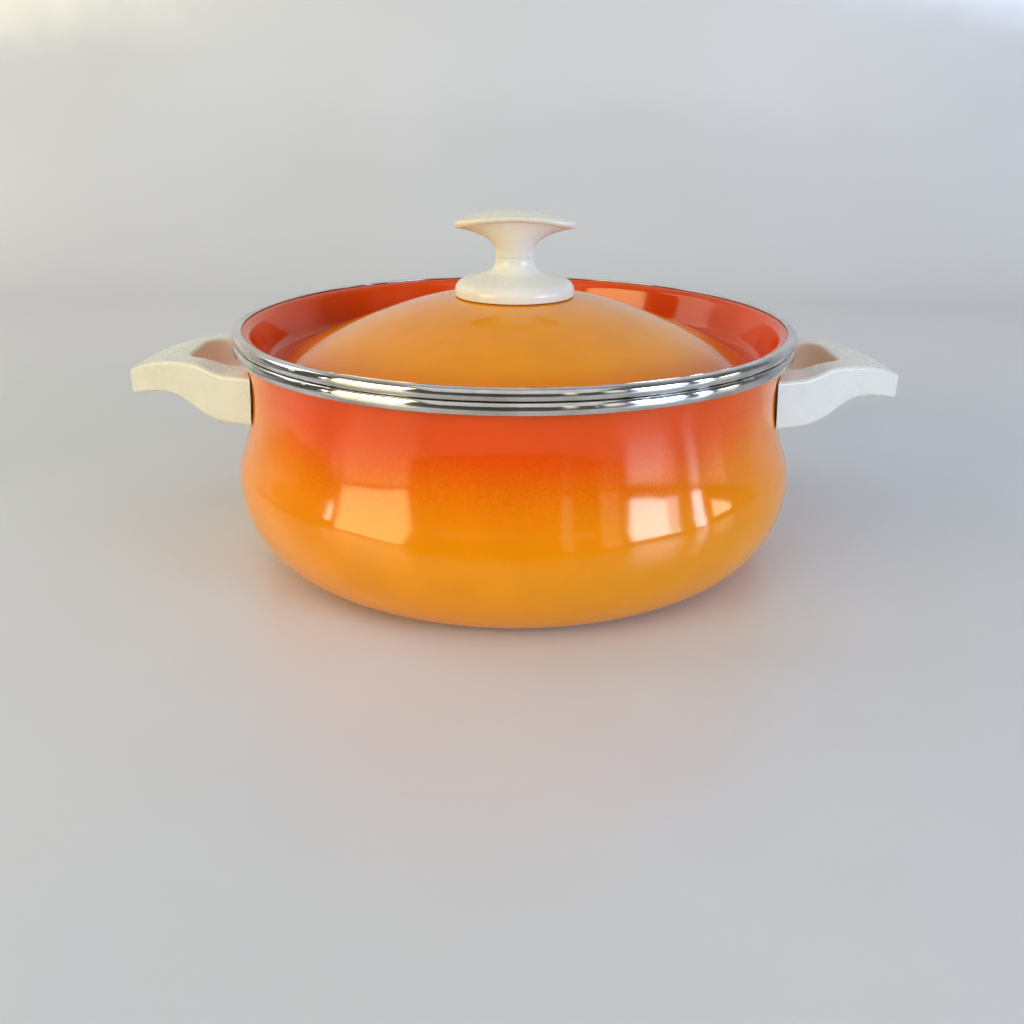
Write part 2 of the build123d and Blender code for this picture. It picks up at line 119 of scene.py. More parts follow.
def run(start: Point, end: Point, count: int) -> np.ndarray:
    """Evenly spaced points on a straight line, both ends included.

    Args:
        start: First point.
        end: Last point.
        count: Number of points.

    Returns:
        Array of (count, 2) points.
    """
    share = np.linspace(0, 1, count)[:, None]
    return np.asarray(start) * (1 - share) + np.asarray(end) * share


def joined(*parts: np.ndarray) -> np.ndarray:
    """Put stretches of a section end to end, without the points that repeat the one before.

    Args:
        parts: Arrays of (n, 2) points.

    Returns:
        One array of points.
    """
    points = np.concatenate(parts)
    step = np.linalg.norm(np.diff(points, axis=0), axis=1)
    return points[np.concatenate([[True], step > SAME_POINT])]


def linked(name: str, data: object) -> Piece:
    """New object with its data, in the scene."""
    piece = bpy.data.objects.new(name, data)
    bpy.context.scene.collection.objects.link(piece)
    return piece


def grid_piece(name: str, grid: np.ndarray, wrap_rows: bool = True) -> Piece:
    """Make a smooth closed mesh from a grid whose columns run round.

    Quads join each point to the next column and the next row. Points that coincide, as at a pole,
    become one vertex, and faces that shrink to a line are left out. If the signed volume, the sum
    of the faces' corner products, comes out negative, all faces are turned over.

    Args:
        name: Name of the piece.
        grid: Array of (rows, columns, 3) points in metres.
        wrap_rows: True if the last row joins the first.

    Returns:
        The new object, linked to the scene.
    """
    rows, columns = grid.shape[:2]
    flat = grid.reshape(-1, 3)
    _, first, same = np.unique(np.round(flat, MERGE_DIGITS), axis=0, return_index=True, return_inverse=True)
    index = same.reshape(rows, columns)
    low = index if wrap_rows else index[:-1]
    high = np.roll(index, -1, 0) if wrap_rows else index[1:]
    quads = np.stack([low, np.roll(low, -1, 1), np.roll(high, -1, 1), high], -1).reshape(-1, 4)
    row_of = np.repeat(np.arange(len(low)), columns)
    points = flat[first]
    a, b, c, d = (points[quads[:, k]] for k in range(4))
    volume = np.sum(np.cross(a, b) * c) + np.sum(np.cross(a, c) * d)
    if volume < 0:
        quads = quads[:, ::-1]
    thin_start = quads[:, 0] == quads[:, 1]
    thin_end = quads[:, 2] == quads[:, 3]
    whole = ~(thin_start | thin_end)
    starts = thin_start & ~thin_end
    ends = thin_end & ~thin_start
    faces = quads[whole].tolist() + quads[starts][:, 1:].tolist() + quads[ends][:, :3].tolist()
    mesh = bpy.data.meshes.new(name)
    mesh.from_pydata(points.tolist(), [], faces)
    face_row = mesh.attributes.new("row", "INT", "FACE")
    order = np.concatenate([row_of[whole], row_of[starts], row_of[ends]]).astype(np.int32)
    face_row.data.foreach_set("value", order)
    mesh.shade_smooth()
    mesh.set_sharp_from_angle(angle=SMOOTH_ANGLE)
    mesh.update()
    return linked(name, mesh)


def turned(name: str, section: np.ndarray, steps: int, wrap_rows: bool = True) -> Piece:
    """Turn a section about the Z axis: each (r, z) goes to (r cos t, r sin t, z) for every step t.

    Args:
        name: Name of the piece.
        section: Array of (n, 2) points, radius and height in metres.
        steps: Number of columns round the axis.
        wrap_rows: True if the section closes on itself.

    Returns:
        The turned piece.
    """
    turn = np.linspace(0, 2 * math.pi, steps, endpoint=False)
    round_x = section[:, :1] * np.cos(turn)
    round_y = section[:, :1] * np.sin(turn)
    height = np.broadcast_to(section[:, 1:], round_x.shape)
    return grid_piece(name, np.stack([round_x, round_y, height], -1), wrap_rows)


def paint_rows(piece: Piece, first: int, last: int, slot: int) -> None:
    """Give the faces between two rows of a grid piece another of its materials.

    Args:
        piece: A piece made by grid_piece.
        first: First row.
        last: Last row, not included.
        slot: Number of the material.
    """
    mesh = piece.data
    rows = np.empty(len(mesh.polygons), np.int32)
    mesh.attributes["row"].data.foreach_get("value", rows)
    slots = np.empty(len(mesh.polygons), np.int32)
    mesh.polygons.foreach_get("material_index", slots)
    slots[(rows >= first) & (rows < last)] = slot
    mesh.polygons.foreach_set("material_index", slots)


# Finishes


def linear(code: str) -> Tint:
    """Linear colour of a hex code such as E08A12."""
    values = [int(code[k : k + 2], 16) / 255 for k in (0, 2, 4)]
    return tuple(v / 12.92 if v <= 0.04045 else ((v + 0.055) / 1.055) ** 2.4 for v in values)


class Sheet:
    """Adds nodes to one tree and joins them."""

    def __init__(self, tree: Tree) -> None:
        """Keep the tree that nodes go into."""
        self.tree = tree

    def add(self, kind: str, inputs: dict | None = None, **settings: object) -> Node:
        """Add a node.

        Args:
            kind: Node type without its ShaderNode prefix, or a full type name.
            inputs: Socket names or numbers, with a value or the socket that feeds them.
            settings: Properties of the node.

        Returns:
            The node.
        """
        full = kind if kind.startswith("Node") else "ShaderNode" + kind
        node = self.tree.nodes.new(full)
        for key, value in settings.items():
            setattr(node, key, value)
        for key, value in (inputs or {}).items():
            if isinstance(value, Socket):
                self.join(value, node.inputs[key])
            else:
                node.inputs[key].default_value = value
        return node

    def join(self, source: Socket, target: Socket) -> None:
        """Link an output to an input."""
        self.tree.links.new(source, target)

    def calc(self, operation: str, first: object, second: object = 0.0) -> Socket:
        """Result of a Math node on two values or sockets."""
        return self.add("Math", {0: first, 1: second}, operation=operation).outputs[0]

    def line(self, value: object, slope: object, start: object) -> Socket:
        """Value times a slope plus a start."""
        return self.add("Math", {0: value, 1: slope, 2: start}, operation="MULTIPLY_ADD").outputs[0]

    def blend(self, share: object, low: object, high: object) -> Socket:
        """Colour between two colours, by a share from 0 to 1."""
        ends = [end if isinstance(end, Socket) else (*end, 1) for end in (low, high)]
        return self.add("Mix", {0: share, 6: ends[0], 7: ends[1]}, data_type="RGBA").outputs[2]

    def scaled(
        self, value: object, low: float, high: float, to_low: float = 0.0, to_high: float = 1.0
    ) -> Socket:
        """Value moved smoothly from one range to another, held at both ends."""
        inputs = {"Value": value, "From Min": low, "From Max": high, "To Min": to_low, "To Max": to_high}
        return self.add("MapRange", inputs, interpolation_type="SMOOTHSTEP").outputs[0]

    def noise(self, vector: object, scale: object, detail: float = 2.0, rough: float = 0.5) -> Socket:
        """Noise from 0 to 1 at a number of waves per metre."""
        inputs = {"Vector": vector, "Scale": scale, "Detail": detail, "Roughness": rough}
        return self.add("TexNoise", inputs).outputs[0]

    def ramp(self, value: object, stops: list[tuple[float, Tint]]) -> Socket:
        """Colour picked from stops by a value from 0 to 1."""
        node = self.add("ValToRGB", {0: value})
        band = node.color_ramp
        while len(band.elements) < len(stops):
            band.elements.new(0.5)
        for element, (place, tint) in zip(band.elements, stops):
            element.position = place
            element.color = (*tint, 1)
        return node.outputs[0]


def effect(name: str, inputs: dict[str, float], outputs: list[str]) -> tuple[Tree, Sheet, Node, Node]:
    """Start a node group with named values in and out, and a Position vector in.

    Args:
        name: Name of the group.
        inputs: Value inputs and their defaults.
        outputs: Value outputs.

    Returns:
        The group, a sheet on it, its input node and its output node.
    """
    tree = bpy.data.node_groups.new(name, "ShaderNodeTree")
    tree.interface.new_socket("Position", in_out="INPUT", socket_type="NodeSocketVector")
    for key, value in inputs.items():
        socket = tree.interface.new_socket(key, in_out="INPUT", socket_type="NodeSocketFloat")
        socket.default_value = value
    for key in outputs:
        tree.interface.new_socket(key, in_out="OUTPUT", socket_type="NodeSocketFloat")
    sheet = Sheet(tree)
    return tree, sheet, sheet.add("NodeGroupInput"), sheet.add("NodeGroupOutput")


class Effects:
    """Node groups that several finishes share."""

    def __init__(self) -> None:
        """Build each group once."""
        self.spatter = self._spatter()
        self.waviness = self._waviness()
        self.pinholes = self._pinholes()
        self.drift = self._drift()
        self.streaks = self._streaks()

    @staticmethod
    def _spatter() -> Tree:
        """Share broken into sprayed droplets: the share plus centred noise, held between 0 and 1."""
        inputs = {"Share": 0.5, "Scale": 900.0, "Spread": 0.5}
        tree, sheet, given, made = effect("sprayed droplets", inputs, ["Mask"])
        fine = sheet.noise(given.outputs["Position"], given.outputs["Scale"])
        centred = sheet.calc("SUBTRACT", fine, 0.5)
        spread = sheet.calc("MULTIPLY", centred, given.outputs["Spread"])
        total = sheet.calc("ADD", given.outputs["Share"], spread)
        clear = sheet.add("Clamp", {"Value": total})
        sheet.join(clear.outputs[0], made.inputs["Mask"])
        return tree

    @staticmethod
    def _waviness() -> Tree:
        """Height of fired enamel: broad sags a few centimetres long plus a finer orange peel."""
        tree, sheet, given, made = effect("fired waviness", {"Sag": 1.0, "Peel": 1.0}, ["Height"])
        sag_waves, peel_waves = 38.0, 420.0
        broad = sheet.noise(given.outputs["Position"], sag_waves, 1.0)
        peel = sheet.noise(given.outputs["Position"], peel_waves)
        low = sheet.calc("MULTIPLY", broad, given.outputs["Sag"])
        high = sheet.calc("MULTIPLY", peel, given.outputs["Peel"])
        sheet.join(sheet.calc("ADD", low, high), made.inputs["Height"])
        return tree

    @staticmethod
    def _pinholes() -> Tree:
        """Mask of rare small specks: cells whose random value is high show a dot at their middle."""
        inputs = {"Scale": 60.0, "Size": 0.1, "Rarity": 0.9}
        tree, sheet, given, made = effect("specks", inputs, ["Mask"])
        place = {"Vector": given.outputs["Position"], "Scale": given.outputs["Scale"]}
        cells = sheet.add("TexVoronoi", place)
        near = sheet.calc("LESS_THAN", cells.outputs["Distance"], given.outputs["Size"])
        split = sheet.add("SeparateColor", {0: cells.outputs["Color"]})
        rare = sheet.calc("GREATER_THAN", split.outputs[0], given.outputs["Rarity"])
        sheet.join(sheet.calc("MULTIPLY", near, rare), made.inputs["Mask"])
        return tree

    @staticmethod
    def _drift() -> Tree:
        """Slow change from place to place: noise at a given scale, spread to the whole range."""
        tree, sheet, given, made = effect("slow drift", {"Scale": 20.0}, ["Amount"])
        noise = sheet.noise(given.outputs["Position"], given.outputs["Scale"], 3.0)
        sheet.join(sheet.scaled(noise, 0.3, 0.7), made.inputs["Amount"])
        return tree

    @staticmethod
    def _streaks() -> Tree:
        """Marks that run round an upright axis: noise on (angle, radius, height), long in the angle."""
        inputs = {"Length": 6.0, "Fineness": 2500.0}
        tree, sheet, given, made = effect("round streaks", inputs, ["Amount", "Scratch"])
        parts = sheet.add("SeparateXYZ", {0: given.outputs["Position"]})
        angle = sheet.calc("ARCTAN2", parts.outputs[1], parts.outputs[0])
        flat = sheet.add("CombineXYZ", {0: parts.outputs[0], 1: parts.outputs[1]})
        radius = sheet.add("VectorMath", {0: flat.outputs[0]}, operation="LENGTH").outputs["Value"]
        along = sheet.calc("MULTIPLY", angle, given.outputs["Length"])
        across = sheet.calc("MULTIPLY", radius, given.outputs["Fineness"])
        up = sheet.calc("MULTIPLY", parts.outputs[2], given.outputs["Fineness"])
        place = sheet.add("CombineXYZ", {0: along, 1: across, 2: up}).outputs[0]
        brushed = sheet.noise(place, 1.0, 3.0, 0.6)
        sheet.join(brushed, made.inputs["Amount"])
        longer = (1.7, 0.25, 0.25)
        slow = sheet.add("VectorMath", {0: place, 1: longer}, operation="MULTIPLY").outputs[0]
        lines = sheet.noise(slow, 1.0, 1.0)
        sheet.join(sheet.scaled(lines, 0.70, 0.74), made.inputs["Scratch"])
        return tree


@dataclass(frozen=True)
class Finish:
    """A finish with a name; each kind dresses its own material."""

    name: str

    def start(self) -> tuple[Material, Sheet, Node, Socket]:
        """New material.

        Returns:
            The material, a sheet on its tree, its shader and the object position.
        """
        material = bpy.data.materials.new(self.name)
        material.use_nodes = True
        sheet = Sheet(material.node_tree)
        shader = material.node_tree.nodes["Principled BSDF"]
        position = sheet.add("TexCoord").outputs["Object"]
        return material, sheet, shader, position

    @staticmethod
    def use(sheet: Sheet, tree: Tree, position: object, **values: object) -> Node:
        """Place an effect in a material with its own values."""
        return sheet.add("Group", {"Position": position, **values}, node_tree=tree)

    @staticmethod
    def bump(sheet: Sheet, shader: Node, height: object, depth: float, strength: float = 1.0) -> None:
        """Feed the shader's normal from a height in units of a depth in metres."""
        node = sheet.add("Bump", {"Height": height, "Distance": depth, "Strength": strength})
        sheet.join(node.outputs[0], shader.inputs["Normal"])

    @staticmethod
    def plain(shader: Node, **values: float) -> None:
        """Set shader values that are the same all over."""
        for key, value in values.items():
            shader.inputs[key.replace("_", " ")].default_value = value


class Fade(Enum):
    """What the sprayed fade follows."""

    HEIGHT = "height"
    RADIUS = "radius"


@dataclass(frozen=True)
class SprayedEnamel(Finish):
    """Gloss enamel that fades from yellow orange to red orange through sprayed droplets.

    The fade runs from pale_to to red_from, in metres. Far out along X less of its red is kept, as
    painted light on the pot's sides, and its red end can be darkened, as painted shade in the lid's ring.
    """

    fade: Fade
    pale_to: float
    red_from: float
    red_kept_at_lit_sides: float = 1.0
    painted_ring_shade: float = 0.0

    def build(self, effects: Effects) -> Material:
        """Make the material.

        Args:
            effects: Shared node groups.

        Returns:
            The material.
        """
        material, sheet, shader, position = self.start()
        parts = sheet.add("SeparateXYZ", {0: position})
        if self.fade is Fade.HEIGHT:
            reach = parts.outputs[2]
        else:
            flat = sheet.add("CombineXYZ", {0: parts.outputs[0], 1: parts.outputs[1]})
            reach = sheet.add("VectorMath", {0: flat.outputs[0]}, operation="LENGTH").outputs["Value"]
        uneven = self.use(sheet, effects.drift, position, Scale=14.0).outputs[0]
        wander = 5 * MM
        shift = sheet.calc("MULTIPLY", sheet.calc("SUBTRACT", uneven, 0.5), wander)
        reach = sheet.calc("ADD", reach, shift)
        inputs = {"Value": reach, "From Min": self.pale_to, "From Max": self.red_from}
        share = sheet.add("MapRange", inputs).outputs[0]
        # Painted light: far out along X, at the pot's left and right silhouettes, less of the red fade is
        # kept, so the enamel is painted yellower where glancing light falls.
        out = sheet.calc("ABSOLUTE", parts.outputs[0])
        side_light_share = sheet.scaled(out, 60 * MM, 125 * MM, 1.0, self.red_kept_at_lit_sides)
        share = sheet.calc("MULTIPLY", share, side_light_share)
        broken = self.use(sheet, effects.spatter, position, Share=share, Scale=1100.0, Spread=0.42)
        colour = sheet.ramp(broken.outputs[0], ENAMEL_STOPS)
        patch = self.use(sheet, effects.drift, position, Scale=55.0).outputs[0]
        shade = sheet.line(patch, 0.06, 0.97)
        # Painted shade: the red end is darkened by a set amount, standing in for the shade in the lid's
        # sunken ring under its band.
        shade = sheet.calc("SUBTRACT", shade, sheet.calc("MULTIPLY", share, self.painted_ring_shade))
        tone = sheet.add("HueSaturation", {"Color": colour, "Value": shade}).outputs[0]
        chips = self.use(sheet, effects.pinholes, position, Scale=48.0, Size=0.045, Rarity=0.965)
        tone = sheet.blend(chips.outputs[0], tone, linear(CHIP))
        sheet.join(tone, shader.inputs["Base Color"])
        smear = self.use(sheet, effects.drift, position, Scale=32.0).outputs[0]
        rough = sheet.line(smear, 0.05, 0.07)
        sheet.join(rough, shader.inputs["Roughness"])
        wave = self.use(sheet, effects.waviness, position, Sag=1.0, Peel=0.06)
        self.bump(sheet, shader, wave.outputs[0], 0.22 * MM)
        self.plain(shader, IOR=1.52)
        shader.inputs["Specular Tint"].default_value = (*SHEEN, 1)
        return material


@dataclass(frozen=True)
class InsideEnamel(Finish):
    """Off-white enamel of the inside, with fine dark specks."""

    tint: str

    def build(self, effects: Effects) -> Material:
        """Make the material from the shared node groups."""
        material, sheet, shader, position = self.start()
        patch = self.use(sheet, effects.drift, position, Scale=25.0).outputs[0]
        dull, speck = linear("E3DCCB"), linear("5A544C")
        base = sheet.blend(patch, linear(self.tint), dull)
        specks = self.use(sheet, effects.pinholes, position, Scale=420.0, Size=0.16, Rarity=0.86)
        dust = sheet.calc("MULTIPLY", specks.outputs[0], 0.55)
        sheet.join(sheet.blend(dust, base, speck), shader.inputs["Base Color"])
        rough = sheet.line(patch, 0.08, 0.12)
        sheet.join(rough, shader.inputs["Roughness"])
        wave = self.use(sheet, effects.waviness, position, Sag=1.0, Peel=0.1)
        self.bump(sheet, shader, wave.outputs[0], 0.3 * MM)
        return material


@dataclass(frozen=True)
class PolishedSteel(Finish):
    """Stainless strip, polished round, with handling scratches."""

    tint: str
    rough: float

    def build(self, effects: Effects) -> Material:
        """Make the material from the shared node groups."""
        material, sheet, shader, position = self.start()
        marks = self.use(sheet, effects.streaks, position, Length=9.0, Fineness=2200.0)
        smear = self.use(sheet, effects.drift, position, Scale=60.0).outputs[0]
        dull = linear("B9B4AC")
        base = sheet.blend(smear, linear(self.tint), dull)
        sheet.join(base, shader.inputs["Base Color"])
        rough = sheet.line(marks.outputs["Scratch"], 0.35, self.rough)
        brushed = sheet.line(marks.outputs["Amount"], 0.07, rough)
        sheet.join(brushed, shader.inputs["Roughness"])
        height = sheet.calc("SUBTRACT", marks.outputs["Amount"], marks.outputs["Scratch"])
        self.bump(sheet, shader, height, 0.012 * MM)
        self.plain(shader, Metallic=1.0)
        return material


@dataclass(frozen=True)
class CreamPhenolic(Finish):
    """Moulded cream plastic, slightly mottled, yellowed and rubbed."""

    tint: str
    aged: str

    def build(self, effects: Effects) -> Material:
        """Make the material from the shared node groups."""
        material, sheet, shader, position = self.start()
        patch = self.use(sheet, effects.drift, position, Scale=22.0).outputs[0]
        fine = self.use(sheet, effects.drift, position, Scale=160.0).outputs[0]
        share = sheet.line(fine, 0.25, sheet.calc("MULTIPLY", patch, 0.6))
        base = sheet.blend(share, linear(self.tint), linear(self.aged))
        specks = self.use(sheet, effects.pinholes, position, Scale=130.0, Size=0.05, Rarity=0.9)
        dust = sheet.calc("MULTIPLY", specks.outputs[0], 0.5)
        speck = linear("8A6A48")
        sheet.join(sheet.blend(dust, base, speck), shader.inputs["Base Color"])
        rough = sheet.line(fine, 0.05, 0.24)
        sheet.join(rough, shader.inputs["Roughness"])
        self.plain(shader, Subsurface_Weight=0.12, Subsurface_Scale=0.004)
        return material


@dataclass(frozen=True)
class PlainMetal(Finish):
    """Small plated or brass hardware with tarnish."""

    tint: str
    tarnish: str
    rough: float

    def build(self, effects: Effects) -> Material:
        """Make the material from the shared node groups."""
        material, sheet, shader, position = self.start()
        patch = self.use(sheet, effects.drift, position, Scale=180.0).outputs[0]
        base = sheet.blend(patch, linear(self.tint), linear(self.tarnish))
        sheet.join(base, shader.inputs["Base Color"])
        rough = sheet.line(patch, 0.2, self.rough)
        sheet.join(rough, shader.inputs["Roughness"])
        self.plain(shader, Metallic=1.0)
        return material


@dataclass(frozen=True)
class Rubber(Finish):
    """Dull dark gasket."""

    tint: str

    def build(self, effects: Effects) -> Material:
        """Make the material from the shared node groups."""
        material, sheet, shader, position = self.start()
        patch = self.use(sheet, effects.drift, position, Scale=300.0).outputs[0]
        dusty = linear("3B3733")
        base = sheet.blend(patch, linear(self.tint), dusty)
        sheet.join(base, shader.inputs["Base Color"])
        self.plain(shader, Roughness=0.75)
        return material


@dataclass(frozen=True)
class PaleCloth(Finish):
    """Plain pale sheet with soft creases, and the dimmer floor past its front and left edges."""

    tint: str
    wall: str
    beyond: str

    def build(self, effects: Effects) -> Material:
        """Make the material from the shared node groups."""
        material, sheet, shader, position = self.start()
        patch = self.use(sheet, effects.drift, position, Scale=2.2).outputs[0]
        parts = sheet.add("SeparateXYZ", {0: position})
        to_wall = sheet.scaled(parts.outputs[1], 0.1, 0.5)
        base = sheet.blend(to_wall, linear(self.tint), linear(self.wall))
        shade = sheet.line(patch, 0.05, 0.97)
        base = sheet.add("HueSaturation", {"Color": base, "Value": shade}).outputs[0]
        front_edge, left_edge, wall_foot, skew = (-0.37, -0.35), (-0.4, -0.36), (0.05, 0.25), -0.9
        front = sheet.scaled(parts.outputs[1], *front_edge)
        slope = sheet.calc("MULTIPLY", parts.outputs[1], skew)
        skewed = sheet.calc("ADD", parts.outputs[0], sheet.calc("MAXIMUM", slope, 0.0))
        left = sheet.scaled(skewed, *left_edge)
        far = sheet.scaled(parts.outputs[1], *wall_foot)
        held = sheet.calc("MULTIPLY", front, sheet.calc("MAXIMUM", left, far))
        base = sheet.blend(held, linear(self.beyond), base)
        sheet.join(base, shader.inputs["Base Color"])
        crease = self.use(sheet, effects.drift, position, Scale=5.0).outputs[0]
        self.bump(sheet, shader, crease, 3 * MM, 0.5)
        self.plain(shader, Roughness=0.3, Specular_IOR_Level=1.0)
        return material


CHIP = "3A1A08"
SHEEN: Tint = (1.0, 0.92, 0.62)
ENAMEL_STOPS: list[tuple[float, Tint]] = [
    (0.0, (0.86, 0.290, 0.0008)),
    (0.13, (0.86, 0.280, 0.0008)),
    (0.22, (0.86, 0.262, 0.0008)),
    (0.37, (0.87, 0.240, 0.0008)),
    (0.44, (0.87, 0.224, 0.0008)),
    (0.52, (0.86, 0.203, 0.0008)),
    (0.61, (0.85, 0.170, 0.0008)),
    (0.685, (0.84, 0.143, 0.0008)),
    (0.76, (0.84, 0.115, 0.0008)),
    (0.85, (0.83, 0.086, 0.0008)),
    (0.94, (0.82, 0.070, 0.0008)),
    (1.0, (0.82, 0.068, 0.0008)),
]


# Sub-assemblies


def rolled_face(rim_radius: float, low: float, high: float) -> np.ndarray:
    """Outer face of a band: a shallow parabola between two rolled edges.

    Args:
        rim_radius: Radius at the middle of the face.
        low: Lower edge of the band.
        high: Upper edge of the band.

    Returns:
        Array of (n, 2) points, from the lower edge up.
    """
    face = rim_radius - TRIM_BULGE
    edge = face - TRIM_ROLL
    up = np.linspace(-1, 1, 15)
    height = (low + high) / 2 + up * ((high - low) / 2 - TRIM_ROLL * 0.6)
    return joined(
        arc((edge, low + TRIM_ROLL), TRIM_ROLL, 270, 335, 6),
        np.stack([face + TRIM_BULGE * (1 - up**2), height], 1),
        arc((edge, high - TRIM_ROLL), TRIM_ROLL, 25, 90, 6),
    )


@dataclass
class Pot:
    """Waisted pot with its rim band. Radii and heights in metres."""

    belly_radius: float
    base_radius: float
    neck_radius: float
    neck_height: float
    shoulder_radius: float
    neck_curve: float
    lip_top: float
    wall: float
    rim_radius: float
    band_top: float
    band_bottom: float
    steps: int = 320

    @classmethod
    def from_frame(cls) -> "Pot":
        """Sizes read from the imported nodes' boxes, with the section's own curves."""
        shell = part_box("pot_shell")[1]
        low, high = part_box("pot_rim_band")
        base_inset, neck_inset, neck_drop = 30.0 * MM, 6.0 * MM, 20.0 * MM
        return cls(
            belly_radius=shell.x,
            base_radius=high.x - base_inset,
            neck_radius=high.x - neck_inset,
            neck_height=high.z - neck_drop,
            shoulder_radius=34.0 * MM,
            neck_curve=85.0 * MM,
            lip_top=shell.z,
            wall=ENAMELLED_SHEET,
            rim_radius=high.x,
            band_top=high.z,
            band_bottom=low.z,
        )

    def wall_radius(self, height: np.ndarray, inset: float = 0.0) -> np.ndarray:
        """Radius of the neck's circle at a height, moved inward by an inset."""
        curve = self.neck_curve + inset
        return self.neck_radius + self.neck_curve - np.sqrt(curve**2 - (height - self.neck_height) ** 2)

    def section(self, inset: float) -> np.ndarray:
        """Section from the axis to the lip.

        A level base, a quarter of an ellipse up to the belly, a convex arc over the shoulder and a
        concave arc through the neck follow each other with no corner between them.

        Args:
            inset: Distance inward from the outside.

        Returns:
            Array of (n, 2) points.
        """
        waist = self.belly_radius - self.neck_radius
        reach = self.shoulder_radius + self.neck_curve
        rise = math.sqrt(2 * waist * reach - waist**2)
        belly_height = self.neck_height - rise
        turn = math.degrees(math.asin(rise / reach))
        shoulder = (self.belly_radius - self.shoulder_radius, belly_height)
        neck = (self.neck_radius + self.neck_curve, self.neck_height)
        lip = math.degrees(math.asin((self.lip_top - self.neck_height) / (self.neck_curve + inset)))
        corner = (self.belly_radius - self.base_radius - inset, belly_height - inset)
        return joined(
            run((0, inset), (self.base_radius, inset), 14),
            oval((self.base_radius, belly_height), corner, 270, 360, 46),
            arc(shoulder, self.shoulder_radius - inset, 0, turn, 22),
            arc(neck, self.neck_curve + inset, 180 + turn, 180 - lip, 34),
        )

    def build(self, finishes: "Palette") -> None:
        """Make the shell and the band, dress them and put them on the pot's body."""
        outside = self.section(0.0)
        inside = self.section(self.wall)[::-1]
        section = joined(outside, inside)
        shell = turned("pot_enamelled_wall", section, self.steps, wrap_rows=False)
        shell.data.materials.append(finishes.pot_outside)
        shell.data.materials.append(finishes.inside)
        paint_rows(shell, len(outside) - 1, len(section), 1)
        finish_piece(shell, "pot", "enamel", "pot_shell")
        band = turned("pot_rolled_band", self.band_section(), self.steps)
        band.data.materials.append(finishes.steel)
        finish_piece(band, "pot", "stainless_trim", "pot_rim_band")

    def band_section(self) -> np.ndarray:
        """Section of the band: a bulged face with rolled edges, a hem below and a leg inside the mouth."""
        low, top = self.band_bottom, self.band_top
        back = self.rim_radius - TRIM_BULGE - TRIM_SHEET
        leg_low = top - 4.0 * MM
        hem = float(self.wall_radius(np.array(low))) + FIT
        inner = self.wall + FIT + TRIM_SHEET
        leg_in_low, leg_in_high = self.wall_radius(np.array([leg_low, top]), inner)
        leg_out_low, leg_out_high = self.wall_radius(np.array([leg_low, top - TRIM_SHEET]), self.wall + FIT)
        return joined(
            np.array([(hem, low)]),
            rolled_face(self.rim_radius, low, top),
            arc((leg_in_high + TRIM_ROLL, top - TRIM_ROLL), TRIM_ROLL, 90, 160, 6),
            run((leg_in_high, top - 1.4 * TRIM_ROLL), (leg_in_low, leg_low), 4),
            np.array([(leg_out_low, leg_low), (leg_out_high, top - TRIM_SHEET)]),
            np.array([(back, top - TRIM_SHEET), (back, low + TRIM_SHEET), (hem, low + TRIM_SHEET)]),
        )


